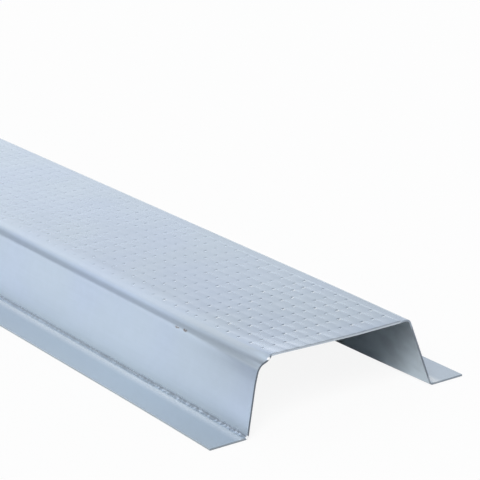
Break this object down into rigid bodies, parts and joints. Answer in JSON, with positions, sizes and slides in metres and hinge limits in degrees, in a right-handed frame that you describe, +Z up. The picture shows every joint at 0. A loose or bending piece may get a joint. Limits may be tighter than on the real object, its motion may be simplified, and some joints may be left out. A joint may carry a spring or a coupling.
{
  "type": "ceiling furring channel",
  "caption": "Long hat-section channel of thin galvanised sheet, with a flat knurled crown, sloping sides and level lips, hung under a ceiling to carry its boards.",
  "frame": {"origin": "on the floor, under the middle of the channel's length and width, as it lies on its lips", "axes": "+X along the length, towards the end with the crushed corner; +Y across the width; +Z up, out of the crown"},
  "size_m": [2.4, 0.0852, 0.022],
  "materials": {
    "galvanised_steel": "satin zinc coating with a faint bluish cast"
  },
  "bodies": {
    "root": {"furring_channel": "galvanised_steel"}
  },
  "joints": []
}
